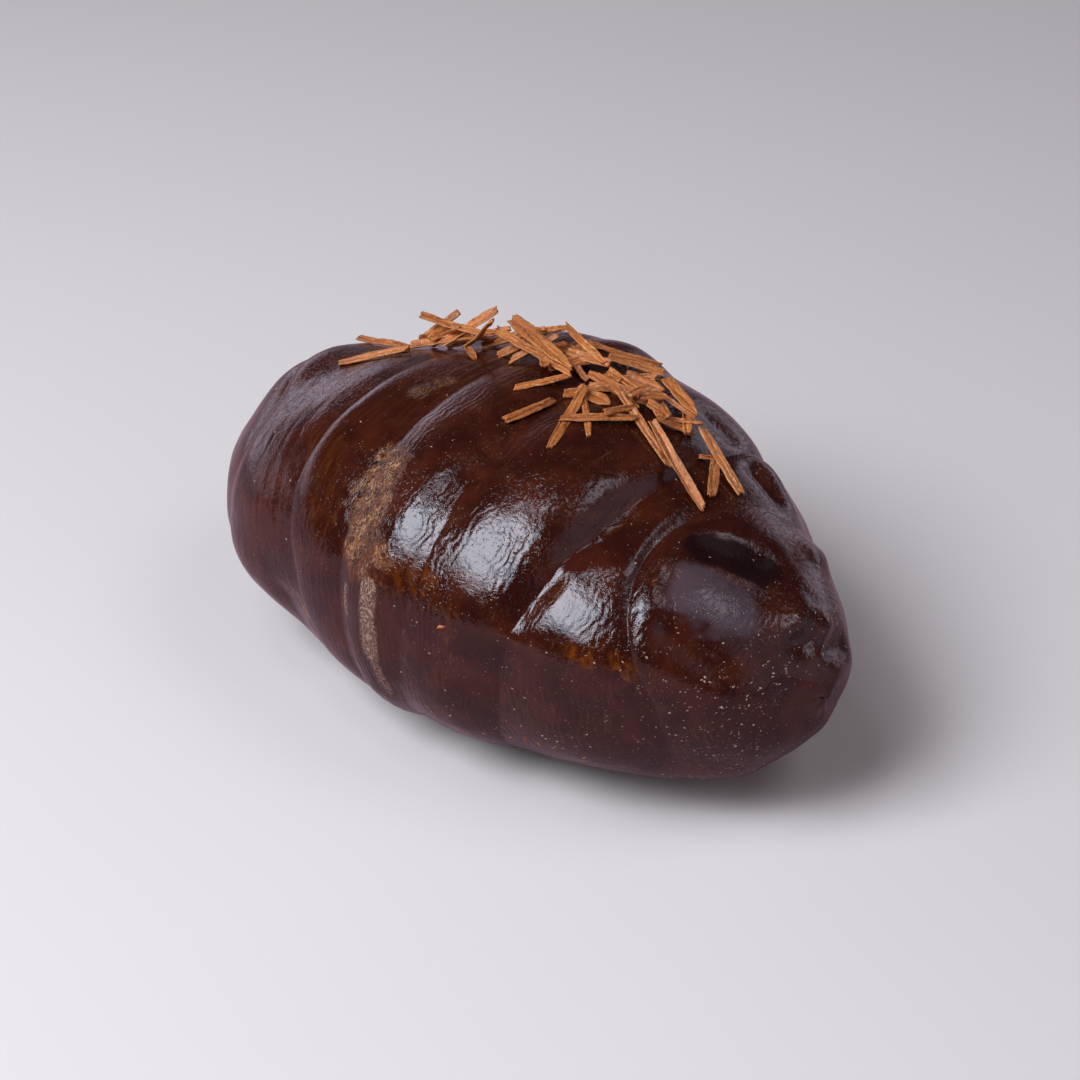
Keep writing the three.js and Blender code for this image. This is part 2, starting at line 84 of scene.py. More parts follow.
# Seams: place along X, lean, wobble, the way the lip faces, lift, lip radius, the angle round the
# loaf where the lift is strongest, its spread and its least share, and the bulge of the next wrap
SEAMS = [
    dict(at=-48.0, lean=-3.5, wobble=2.0, faces=-1, lift=0.7, lip=3.5,
         strong=60, spread=80, least=0.6, belly=0.3),
    dict(at=-22.0, lean=-7.0, wobble=1.9, faces=-1, lift=0.55, lip=2.2,
         strong=0, spread=90, least=0.6, belly=0.1),
    dict(at=-9.0, lean=-5.9, wobble=0.5, faces=-1, lift=0.4, lip=4.0,
         strong=20, spread=80, least=0.5, belly=0.9),
    dict(at=3.5, lean=-1.1, wobble=2.9, faces=-1, lift=0.5, lip=9.0,
         strong=55, spread=60, least=0.45, belly=0.9),
    dict(at=22.0, lean=4.0, wobble=0.0, faces=1, lift=3.0, lip=3.6,
         strong=78, spread=28, least=0.2, belly=0.9),
    dict(at=42.6, lean=-4.3, wobble=-4.2, faces=-1, lift=1.2, lip=5.0,
         strong=60, spread=45, least=0.3, belly=0.0),
]
FAR_CAP_LIFT = 0.8
NEAR_CAP_LIFT = 1.0
WRAP_ROUND = 1.25
SWELL = 0.5
SEAM_PLACES = np.array([-HALF] + [seam["at"] for seam in SEAMS] + [HALF])
SEAM_LEANS = np.array([0.0] + [seam["lean"] for seam in SEAMS] + [0.0])
SEAM_WOBBLES = np.array([0.0] + [seam["wobble"] for seam in SEAMS] + [0.0])

# Bumps and dents: from, to, reach and height, all in millimetres
FOLDS = [
    ((-56, -8, 41), (-53, 4, 44), 9.0, 2.6),
    ((-46, 16, 48), (-34, 16, 53), 11.0, -3.2),
    ((-24, 27, 51), (-12, 29, 50), 10.0, 2.2),
    ((2, 30, 48), (20, 30, 46), 10.0, 1.2),
    ((-42, -34, 21), (-49, -30, 23), 9.0, 1.8),
    ((-27.5, -37, 14), (-28, -38, 20), 4.0, -1.4),
    ((62, 8, 15), (60, 1, 13), 6.5, -2.0),
    ((54, -10, 10), (45, -17, 8), 5.5, 1.8),
    ((38, -26, 36), (41, -23, 37), 6.5, 1.2),
    ((41, -4, 48.5), (47, 2, 44), 4.2, -2.0),
    ((40, -12, 46), (40, -13, 45.5), 2.4, -0.9),
    ((38.5, -14.5, 45), (40.5, -18.5, 41), 1.8, 0.5),
    ((44.8, -18, 40.3), (52, -14.5, 35.4), 2.0, -1.0),
    ((46.5, -10.5, 44), (48.5, -9.5, 42.5), 5.0, 0.7),
    ((60.3, -7, 29.5), (62.5, -3, 24), 2.6, -1.3),
    ((58.2, -1.4, 37), (59.5, 7, 32), 2.4, -1.2),
    ((27.3, -14, 48), (27.8, -9, 49.5), 3.4, -1.2),
    ((18, 22, 51.5), (22, 23, 49.5), 2.4, -1.8),
    ((30.5, 20, 46.5), (35.5, 20.5, 44.5), 2.4, -2.2),
    ((34, 28, 40), (39, 26.5, 37), 4.5, -1.1),
    ((-32, -33, 12), (-38, -35, 16), 6.0, -0.9),
    ((-52.2, -6, 45), (-51, -2.5, 46), 5.5, 2.0),
    ((29, 22, 45.5), (30, 22, 45), 4.0, 0.8),
    ((46, 15.5, 39.8), (46.2, 17, 38.6), 3.2, 1.3),
    ((61.2, 7, 27.5), (60.5, 9, 28), 3.5, 1.0),
    ((20, -32.5, 38), (22, -31.5, 38.5), 7.0, 0.5),
    ((54, 4, 39.5), (55.5, -1, 37.5), 1.8, 0.8),
    ((57, 6, 37), (59, 1, 34), 1.8, 0.9),
    ((26.5, -18, 49), (25.5, -21, 48), 2.4, -1.2),
    ((25.5, -26, 45), (24, -31, 40), 2.6, -1.3),
]

# Patches of the glaze: from, to, reach and strength. Where it is thin it looks amber, where it is curly
# golden fibres show in it, where it is satiny it has a fine grain and a painted grey sheen, a hollow gets
# painted shade and little coat, and where it is bare the crust shows between two wraps
THIN = [
    ((-27, -27, 47.5), (-19.5, -35.5, 41.5), 4.6, 0.7),
    ((-19, -22, 51.5), (-10, -17, 54.5), 4.0, 0.3),
    ((-25, -16, 52.5), (-10, -4, 56.5), 7.0, 0.35),
    ((-1, -38, 39.5), (7, -36.6, 40.8), 3.4, 0.9),
    ((8, -36.6, 38.8), (13.5, -35.8, 38), 2.0, 0.5),
    ((-9.5, -35.5, 42), (-8.0, -38.5, 38), 2.8, 1.0),
    ((28.9, -26.2, 42.6), (28.5, -24, 44), 1.5, 0.9),
    ((25.2, -13.6, 50), (27.5, -7, 50), 2.4, 0.6),
    ((33.2, -28.2, 36.2), (36.2, -27.5, 35.8), 2.1, 1.0),
    ((40.3, -24.4, 35.2), (42.2, -23.6, 35.2), 2.3, 1.0),
    ((38.6, -14.6, 45.9), (39, -15, 45.5), 1.0, 0.8),
    ((50.3, 0.3, 41.3), (50.5, 0, 41), 0.9, 0.9),
    ((23.3, -33.2, 25.4), (27, -31.5, 20), 2.6, 0.5),
    ((11.4, -38.4, 27.3), (12.7, -37.9, 22.5), 1.9, 0.5),
    ((31, -31.6, 26.8), (33, -31, 25), 1.7, 0.4),
]
CURLY = [
    ((-11.5, -26.5, 50.1), (-8.6, -34.2, 44.5), 4.3, 0.9),
    ((-9.2, -34.4, 44), (-6.5, -37.2, 41), 4.0, 0.9),
    ((-7, -37, 41.5), (-1.0, -37.5, 41.7), 2.0, 0.8),
    ((-20.5, -11, 54.6), (-18.5, -6, 55.3), 1.8, 0.35),
    ((-24, -37.3, 23), (-22.5, -37.4, 20), 1.4, 0.8),
]
# Satin grain, with a painted grey sheen on it
SATIN_AND_PAINTED_SHEEN_ROWS = [
    ((45, -10.5, 44.5), (49, -9, 42.8), 5.2, 1.0),
]
# Painted shade in the dent near the pointed end
PAINTED_SHADE_HOLLOWS = [
    ((39.5, -3.6, 47.2), (46.5, 2.6, 42.8), 3.3, 1.0),
]
BARE = [
    ((-2.3, -39.8, 36.5), (-1.7, -40.6, 24), 1.6, 1.0),
    ((-1.7, -40.5, 24), (0.5, -38.5, 14), 0.9, 0.7),
    ((-8.3, -39.5, 34), (-8, -39.8, 29), 0.6, 0.8),
]
# The shares of a patch's reach at which it is gone and full, and how ragged its edge is
PATCHES = dict(
    thin=dict(rows=THIN, gone=1.1, full=0.85, ragged=1.0),
    curly=dict(rows=CURLY, gone=1.3, full=0.7, ragged=1.0),
    satin_and_painted_sheen=dict(rows=SATIN_AND_PAINTED_SHEEN_ROWS, gone=1.3, full=0.7, ragged=0.8),
    painted_shade_hollow=dict(rows=PAINTED_SHADE_HOLLOWS, gone=1.2, full=0.75, ragged=0.9),
    bare=dict(rows=BARE, gone=1.25, full=0.85, ragged=0.3),
)

# How finely the loaf is meshed, and the share of its half length past which rows crowd to the tip
ROWS_ALONG = 300
POINTS_AROUND = 320
CROWDED_FROM = 0.72
CROWDING = 2.6

# Shreds: how thick they are, how they sink into, press and bite what carries them, how much they
# curl, and how they lean with the loaf and towards one side
SHRED_THICKNESS = 0.9
SHRED_SINK = 0.3
SHRED_PRESS = 0.15
SHRED_BITE = 0.3
SHRED_CURL = 0.35
SHRED_STATIONS = 13
SHREDS_FACE = 44.5
SHRED_LEAN = 1.45
SHRED_LEAN_SHARE = 0.5
SHRED_BEARS = 0.75
# Placed shreds: x, y, heading, length, width, curl, and how high the two ends are above the loaf
PLACED_SHREDS = [
    (-40.5, -2.9, 31, 14, 1.8, 0.3, 0.3, 0.8), (-46.1, 4.5, -6, 17, 1.2, 0.3, 2.7, 1.5),
    (-31.2, 7.9, 29, 17, 1.8, 0.6, 1, 4), (-38.4, 1.2, 27, 5, 1.1, 0.2, 0.1, 0.1),
    (-32, 8.4, 1, 17, 1.7, 0.5, 8.5, 5), (-36.1, 10, 74, 10, 1.5, 0.6, 4.4, 3.5),
    (-34.3, 8.4, 92, 7, 1.6, 0.5, 4.4, 7), (-33.7, 12.5, 79, 7, 1.1, 0.3, 4, 5),
    (-22.5, 4.3, -28, 5, 1.3, 0.8, 3, 1.9), (-24.6, 10.6, 40, 4, 1.3, 0.9, 6.3, 6.3),
    (-27.1, 12.6, 112, 11, 1.6, 0.4, 2.9, 0.5), (-10.5, 10, -12, 21, 2.6, 0.2, 6, 2.9),
    (-10.6, 7.7, -3, 21, 1.8, 0.4, 3.9, 2), (5.7, 5.9, -3, 9, 2.6, 0.3, 3.4, 3),
    (-17.9, 14.9, 18, 6, 1.4, 0.3, 4.9, 5), (-13.5, 15.2, 57, 6, 1.1, 0.5, 5.5, 5.5),
    (-5.4, 15.3, -15, 14, 1.4, 0.4, 6, 4.4), (-12.2, 14.3, 81, 6, 1, 0.4, 5, 5.5),
    (-8.9, 14.3, 35, 8, 1.2, 0.5, 4.4, 3.9), (-11.4, 20.2, 71, 6, 0.7, 0.2, 6, 6),
    (-8.7, 20.4, 62, 4, 1.5, 0.9, 4, 2.9), (-2.2, 10.9, -11, 4, 1.1, 0.5, 4, 3),
    (-3.7, 25.4, 56, 12, 1, 0.2, 2, 1.9), (-0.2, 22.9, 53, 11, 2.2, 0.3, 2.9, 2),
    (7.1, 12.7, -12, 12, 1.4, 0.6, 4.5, 3.5), (5.8, 9.9, -7, 13, 1.6, 0.4, 2.9, 2.5),
    (12.7, 9.7, 96, 7, 1.2, 0.5, 3, 3), (7.4, 17, 23, 8, 2.4, 0.2, 2.9, 2.4),
    (13.9, 11.2, 73, 5, 1.7, 0.3, 2.4, 1.9), (15.4, 10.6, 31, 3, 1.5, 0.3, 1.9, 1.4),
    (15.7, 15.3, 13, 9, 0.9, 0.3, 1.9, 1.8), (19.6, 13.3, 54, 7, 0.8, 0.3, 1, 2.4),
    (15, 17.9, -19, 12, 2.3, 0.4, 2.4, 2.4), (18.1, 4.9, -14, 17, 1.5, 0.3, 2.4, 0.2),
    (12.2, 0.1, 47, 14, 1.5, 0.2, 1, 1.9), (13.8, 3.6, 76, 7, 1.1, 0.2, 2, 2),
    (19.7, 11, 56, 7, 1.5, 0.3, 1.4, 0.3), (26.6, 3.9, -9, 16, 1.9, 1, 3, 0.2),
    (28.6, 12.6, -16, 13.5, 1.9, 0.3, 2.5, 0.3), (30, 9.4, -52, 11, 1.9, 0.1, 0.5, 0.3),
    (26.2, 12.5, 55, 4, 0.9, 0.2, 0.2, 0.9), (-3.4, 2.2, 68, 11, 1.2, 0.7, 0.4, 1.9),
    (0.2, -4.4, 84, 11.5, 1.7, 0.2, 0.3, 0.5), (2.5, 5.9, 56, 6.5, 1.7, 0.5, 2.4, 1.9),
    (7.9, -2.6, 116, 20, 1.8, 0.3, 0.2, 1.9), (9.4, -0.3, -43, 13, 1.2, 0.3, 1, 0.3),
    (-7.7, 12.9, 89, 4, 1, 0.4, 3, 3.9), (-15.7, 15.3, 10, 7, 1.4, 0.4, 4.9, 3.9),
    (7.7, 9.9, -20, 15, 1.3, 0.5, 2.9, 2),
]
# Strewn shreds: how many, the line that they are strewn along, and the ranges of the same values
STREWN_SHREDS = 20
STREWN_FROM = (-37.0, 11.0)
STREWN_TO = (20.0, 15.0)
STREWN_ASIDE = 4.0
STREWN_TURN = 65.0
STREWN_LENGTH = (7.0, 13.0)
STREWN_WIDTH = (1.4, 2.3)
STREWN_CURL = (0.2, 1.0)
STREWN_LOW = (0.2, 1.5)
STREWN_HIGH = (3.0, 8.5)
STREWN_FALL = 0.8
STREWN_SEED = 1746
# The plan over which shreds are laid, in square cells
PLAN = dict(west=-58.0, east=48.0, south=-30.0, north=40.0, cell=0.5)

# Camera: the photograph's viewing angle
VIEW_AZIMUTH = math.radians(44.5)
VIEW_ELEVATION = math.radians(34.0)
VIEW_DISTANCE = 0.465
VIEW_ASIDE = -0.0009
VIEW_UP = 0.0232
LENS = 85
SENSOR = 36


# Smooth noise over points in space

def lattice(cell, seed):
    """A pseudo-random value from 0 to 1 for each whole-numbered point."""
    mixed = cell[..., 0] * 73856093 ^ cell[..., 1] * 19349663 ^ cell[..., 2] * 83492791 ^ seed * 40503
    mixed = (mixed & 0xFFFFFFFF) * 1274126177 & 0xFFFFFFFF
    mixed = (mixed ^ mixed >> 15) * 668265263 & 0xFFFFFFFF
    return (mixed >> 8 & 0xFFFF) / 65535


def noise(points, size, seed):
    """Smooth noise from -1 to 1 with lumps of about the given size; each seed is another pattern."""
    at = np.asarray(points) / size
    low = np.floor(at).astype(np.int64)
    share = at - low
    share = share * share * (3 - 2 * share)
    total = 0.0
    for corner in range(8):
        step = np.array([corner & 1, corner >> 1 & 1, corner >> 2 & 1])
        weight = np.prod(np.where(step, share, 1 - share), axis=-1)
        total = total + weight * lattice(low + step, seed)
    return total * 2 - 1


def segment_distance(points, start, stop):
    """Distance of each point to the line between two points."""
    start = np.array(start, float)
    run = np.array(stop, float) - start
    share = np.clip((points - start) @ run / max(run @ run, 1e-9), 0, 1)
    return np.linalg.norm(points - start - share[..., None] * run, axis=-1)


# The loaf's surface

def by_end(x, name):
    """The value that belongs to the end of the loaf on which each place lies."""
    return np.where(x < WIDEST_AT, FAR_END[name], NEAR_END[name])


def plain_loaf(x, angle):
    """Points of the plain loaf, and the belly's height there."""
    room = np.where(x < WIDEST_AT, HALF + WIDEST_AT, HALF - WIDEST_AT)
    reach = np.clip(np.abs(x - WIDEST_AT) / room, 0, 1)
    left = 1 - reach ** by_end(x, "blunt")
    middle = BELLY_HEIGHT + (by_end(x, "tip") - BELLY_HEIGHT) * reach ** 3
    across = np.cos(angle)
    aloft = np.sin(angle)
    power = np.where(aloft >= 0, 2 / CROWN, 2 / HEEL)
    y = -WIDTH / 2 * left ** by_end(x, "wide") * np.sign(across) * np.abs(across) ** power
    rise = np.abs(aloft) ** power
    above = (HEIGHT - BELLY_HEIGHT) * left ** by_end(x, "tall") * rise
    below = middle * left ** by_end(x, "under") * rise
    z = np.where(aloft >= 0, middle + above, middle - below)
    return np.stack([x, y, z], -1), middle


def rounded(share):
    """Quarter-round rise from 0 to 1."""
    share = 1 - np.clip(share, 0, 1)
    return np.sqrt(np.maximum(1 - share * share, 0))


def seam_lift(seam, angle):
    """Lift of a seam's lip at an angle round the loaf."""
    turn = (np.degrees(angle) - seam["strong"] + 180) % 360 - 180
    return seam["lift"] * (seam["least"] + (1 - seam["least"]) * np.exp(-((turn / seam["spread"]) ** 2)))


def wrap_height(station, angle):
    """Height of the wraps above the plain loaf."""
    height = np.zeros(station.shape)
    last = len(SEAMS)
    for band in range(last + 1):
        start = SEAM_PLACES[band]
        stop = SEAM_PLACES[band + 1]
        share = np.clip((station - start) / (stop - start), 0, 1)
        first = SEAMS[max(band - 1, 0)]
        second = SEAMS[min(band, last - 1)]
        first_lift = seam_lift(first, angle)
        second_lift = seam_lift(second, angle)
        first_edge = rounded((station - start) / first["lip"])
        second_edge = rounded((stop - station) / second["lip"])
        if band == 0:
            value = FAR_CAP_LIFT * (1 - share ** 3)
        elif band == last:
            value = (first_lift + (NEAR_CAP_LIFT - first_lift) * share) * first_edge
        elif first["faces"] < 0 and second["faces"] > 0:
            value = (first_lift + (second_lift - first_lift) * share) * first_edge * second_edge
        elif first["faces"] < 0:
            value = first_lift * first_edge * (1 - share ** 2.2)
        elif second["faces"] > 0:
            value = second_lift * second_edge * (1 - (1 - share) ** 2.2)
        else:
            value = 0.0
        if 0 < band < last:
            value = value + first["belly"] * np.sin(math.pi * share) ** WRAP_ROUND
        height = np.where((station >= start) & (station <= stop), value, height)
    return height


def fine_relief(station, angle, points):
    """Lumps, stretch marks along the wraps and small wrinkles, finer than the part's facets."""
    turn = np.stack([station, np.degrees(angle) / 12, 0 * station], -1)
    lumps = 0.15 * noise(points, 9.0, 11) + 0.07 * noise(points, 4.0, 12)
    off_the_tip = np.clip((HALF - np.abs(station) - TIP_CLEAR) / TIP_FADE, 0, 1)
    marks = 0.035 * noise(turn, 1.1, 13) * np.clip((12 - station) / 20, 0, 1) * off_the_tip
    wrinkles = 0.05 * noise(points, 1.9, 14) * np.clip(0.5 + noise(points, 12.0, 15), 0, 1)
    return lumps + marks + wrinkles


def loaf_surface(station, angle, fine=False):
    """Points of the finished loaf at stations along it and angles round it."""
    station, angle = np.broadcast_arrays(np.asarray(station, float), np.asarray(angle, float))
    lean = np.interp(station, SEAM_PLACES, SEAM_LEANS) * np.sin(angle)
    wobble = np.interp(station, SEAM_PLACES, SEAM_WOBBLES) * np.sin(2 * angle + 0.12 * station)
    x = station + lean + wobble
    points, middle = plain_loaf(x, angle)
    spine = np.stack([np.clip(x, -SPINE, SPINE), 0 * x, middle], -1)
    outward = points - spine
    outward /= np.linalg.norm(outward, axis=-1, keepdims=True)
    off_the_ground = np.clip((points[..., 2] - RELIEF_FROM) / (RELIEF_FULL - RELIEF_FROM), 0, 1)
    swell = SWELL * np.sin(0.21 * x + 1.3 * np.sin(angle) + 0.6) * np.sin(2 * angle + 0.05 * x + 0.5)
    height = wrap_height(station, angle) + swell
    for start, stop, reach, rise in FOLDS:
        height = height + rise * np.exp(-((segment_distance(points, start, stop) / reach) ** 2))
    if fine:
        height = height + fine_relief(station, angle, points)
    points = points + outward * (height * off_the_ground)[..., None]
    points[..., 2] = np.maximum(points[..., 2] * (1 + FLATTENED / HEIGHT) - FLATTENED, 0)
    return points


# The same shift as in the part, which centres the loaf's box on the origin
COARSE = loaf_surface(np.linspace(-HALF, HALF, 201)[:, None], np.linspace(0, 2 * math.pi, 181)[None])
SHIFT = np.append((COARSE.reshape(-1, 3).min(axis=0)[:2] + COARSE.reshape(-1, 3).max(axis=0)[:2]) / 2, 0.0)


def metres(points):
    """Millimetres on the unshifted loaf as metres in the part's frame."""
    return (np.asarray(points) - SHIFT) * MM


def make_piece(name, points, faces, material, smooth=True):
    """A mesh object from points in millimetres, riding on the root body."""
    mesh = bpy.data.meshes.new(name)
    mesh.from_pydata(metres(points).tolist(), [], faces)
    mesh.materials.append(material)
    mesh.polygons.foreach_set("use_smooth", [smooth] * len(mesh.polygons))
    mesh.update()
    piece = bpy.data.objects.new(name, mesh)
    bpy.context.scene.collection.objects.link(piece)
    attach(piece, "root")
    return piece


def add_attribute(piece, name, kind, values):
    """A value for each point, which the material reads."""
    attribute = piece.data.attributes.new(name, kind, "POINT")
    field = "vector" if kind == "FLOAT_VECTOR" else "value"
    attribute.data.foreach_set(field, np.asarray(values, dtype=np.float32).ravel())


def smoothstep(low, high, value):
    """A smooth rise from 0 to 1 between two values, in either order."""
    share = np.clip((value - low) / (high - low), 0, 1)
    return share * share * (3 - 2 * share)


def loaf_rows():
    """Stations along the loaf, closer together at the tips."""
    share = np.linspace(-1, 1, ROWS_ALONG + 2)[1:-1]
    even = share * HALF
    crowded = np.sign(share) * HALF * (1 - (1 - np.abs(share)) ** CROWDING)
    blend = smoothstep(CROWDED_FROM, 1.0, np.abs(share))
    return even * (1 - blend) + crowded * blend


def grid_faces(rows, around):
    """Quads between rings, and fans to two tips that follow the rings' points."""
    faces = []
    for row in range(rows - 1):
        for k in range(around):
            following = (k + 1) % around
            a = row * around
            faces.append((a + k, a + around + k, a + around + following, a + following))
    first_tip = rows * around
    last_ring = (rows - 1) * around
    for k in range(around):
        following = (k + 1) % around
        faces.append((first_tip, k, following))
        faces.append((first_tip + 1, last_ring + following, last_ring + k))
    return faces


def patch_strength(points, patch, edge_noise):
    """How strongly each point belongs to the patch, fading between two shares of its reach."""
    value = np.zeros(len(points))
    for start, stop, reach, strength in patch["rows"]:
        near = segment_distance(points, start, stop) / reach + patch["ragged"] * edge_noise
        value = np.maximum(value, strength * smoothstep(patch["gone"], patch["full"], near))
    return value


def make_loaf(material):
    """The glazed loaf, with its wrap coordinates and patches as attributes."""
    rows = loaf_rows()
    turns = np.arange(POINTS_AROUND) / POINTS_AROUND * 2 * math.pi
    rings = loaf_surface(rows[:, None], turns[None], fine=True)
    tips = np.stack([loaf_surface(-HALF, 0.0), loaf_surface(HALF, 0.0)])
    points = np.concatenate([rings.reshape(-1, 3), tips])
    faces = grid_faces(len(rows), POINTS_AROUND)
    piece = make_piece("glazed_loaf", points, faces, material)
    stations = np.append(np.repeat(rows, POINTS_AROUND), (-HALF, HALF))
    angles = np.append(np.tile(turns, len(rows)), (0, 0))
    arc = np.degrees(angles) / 2
    add_attribute(piece, "wrap", "FLOAT_VECTOR", np.stack([stations, arc, 0 * arc], -1) * MM)
    edge_noise = 0.35 * noise(points, 2.2, 21) + 0.2 * noise(points, 0.9, 22)
    for name, patch in PATCHES.items():
        add_attribute(piece, name, "FLOAT", patch_strength(points, patch, edge_noise))
    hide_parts("salt_bread")


# Laying the shreds

class Heights:
    """Heights over the plan, which each shred raises as it is laid."""

    def __init__(self):
        self.columns = round((PLAN["east"] - PLAN["west"]) / PLAN["cell"]) + 1
        self.rows = round((PLAN["north"] - PLAN["south"]) / PLAN["cell"]) + 1
        self.values = np.zeros((self.columns, self.rows))

    def index(self, x, y):
        column = np.floor((np.asarray(x) - PLAN["west"]) / PLAN["cell"] + 0.5).astype(int)
        row = np.floor((np.asarray(y) - PLAN["south"]) / PLAN["cell"] + 0.5).astype(int)
        return np.clip(column, 0, self.columns - 1), np.clip(row, 0, self.rows - 1)

    def at(self, x, y):
        return self.values[self.index(x, y)]

    def raise_to(self, x, y, z):
        np.maximum.at(self.values, self.index(x, y), z)


def loaf_heights():
    """The heights of the bare loaf."""
    heights = Heights()
    stations = np.linspace(PLAN["west"], PLAN["east"], 800)[:, None]
    turns = np.radians(np.linspace(20, 160, 600))[None]
    points = loaf_surface(stations, turns)
    heights.raise_to(points[..., 0], points[..., 1], points[..., 2])
    return heights


class SeededDraw:
    """A seeded random generator: the same draws on every run, and as in the part."""

    def __init__(self, seed):
        self.state = seed

    def between(self, low=0.0, high=1.0):
        self.state = self.state * 48271 % 2147483647
        return low + (high - low) * self.state / 2147483647


def strewn_shreds():
    """Shreds strewn at random along the ridge, below the placed ones."""
    draw = SeededDraw(STREWN_SEED)
    run_x = STREWN_TO[0] - STREWN_FROM[0]
    run_y = STREWN_TO[1] - STREWN_FROM[1]
    heading = math.degrees(math.atan2(run_y, run_x))
    spreads = (STREWN_LENGTH, STREWN_WIDTH, STREWN_CURL, STREWN_LOW)
    shreds = []
    for k in range(STREWN_SHREDS):
        share = (k + draw.between()) / STREWN_SHREDS
        x = STREWN_FROM[0] + run_x * share
        y = STREWN_FROM[1] + run_y * share + draw.between(-STREWN_ASIDE, STREWN_ASIDE)
        turn = heading + draw.between(-STREWN_TURN, STREWN_TURN)
        high = draw.between(*STREWN_HIGH) * (1 - STREWN_FALL * share)
        shreds.append((x, y, turn, *[draw.between(*spread) for spread in spreads], high))
    return shreds


def lay_shred(shred, loaf, heap):
    """Lays one stiff shred, lowered where it would hang clear, and raises the heights under it."""
    x, y, heading, length, width, curl, start, stop = shred
    along = np.array([math.cos(math.radians(heading)), math.sin(math.radians(heading))])

    def place(spot, side):
        return x + spot * along[0] - side * along[1], y + spot * along[1] + side * along[0]

    share = np.arange(SHRED_STATIONS) / (SHRED_STATIONS - 1)
    spots = (share - 0.5) * length
    edge = SHRED_BEARS * width / 2
    slope = np.mean(loaf.at(*place(spots, edge)) - loaf.at(*place(spots, -edge))) / (2 * edge)
    facing = SHRED_LEAN * math.cos(math.radians(heading - SHREDS_FACE))
    tilt = float(np.clip(slope * (1 - SHRED_LEAN_SHARE) + facing * SHRED_LEAN_SHARE, -1, 1))
    ground = np.max([loaf.at(*place(spots, side)) - tilt * side for side in (-edge, 0, edge)], axis=0)
    z = (ground[0] + start) * (1 - share) + (ground[-1] + stop) * share
    z = z + max(0, np.max(ground - z))
    reach = SHRED_BEARS * length / 2
    sides = np.array([[-edge], [0], [edge]])
    heap_top = np.where(np.abs(spots) <= reach, heap.at(*place(spots, sides)), 0)
    carrier = np.maximum(loaf.at(*place(spots, sides)) - SHRED_PRESS, heap_top - SHRED_BITE)
    clear = z + tilt * sides + 2 * np.abs(sides) * SHRED_CURL * curl - carrier
    z = z - max(0, np.min(clear))
    steps = np.arange(-reach, reach, PLAN["cell"] / 2)[:, None]
    sides = np.arange(-edge, edge, PLAN["cell"] / 2)[None]
    top = z[0] + (z[-1] - z[0]) * (steps / length + 0.5) + tilt * sides + SHRED_THICKNESS - SHRED_SINK
    heap.raise_to(*place(steps, sides), top)
    path = np.stack([*place(spots, 0), z], -1)
    across = np.array([-along[1], along[0], tilt])
    return path, across / np.linalg.norm(across), width, curl


# Making the shreds: how finely they are meshed, and how torn their ends are in shares of the length
SHRED_ROWS = 34
SHRED_COLUMNS = 10
WIDE_SHRED = 2.25
END_TRIM = 0.045
END_SLANT = 0.045
END_FRINGE = 0.018
GROOVE_DEPTH = 0.24
GROOVE_SPREAD = 0.22


def on_a_line(along, aside=0.0):
    """Points on a line, at which noise is read."""
    return np.stack([along, aside + 0 * along, 0 * along], -1)


def torn_ends(sides, key):
    """Where each line of fibres starts and stops, in shares of the shred's length."""
    side_key = on_a_line(sides * 1.7) + key
    slants = END_SLANT * noise(key + np.eye(3) * 9, 0.9, 44)
    start = END_TRIM + END_FRINGE * noise(side_key, 0.6, 31) + slants[0] * sides
    stop = 1 - END_TRIM + END_FRINGE * noise(side_key, 0.6, 32) + slants[1] * sides
    return start, stop


def strip_faces(rows, columns):
    """Faces round a strip whose rings run over its top and back along its underside."""
    faces = []
    count = 2 * columns
    for row in range(rows - 1):
        for k in range(count):
            following = (k + 1) % count
            a = row * count
            faces.append((a + k, a + following, a + count + following, a + count + k))
    end = (rows - 1) * count
    for k in range(columns - 1):
        mirrored = count - 1 - k
        faces.append((k, mirrored, mirrored - 1, k + 1))
        faces.append((end + k, end + k + 1, end + mirrored - 1, end + mirrored))
    return faces


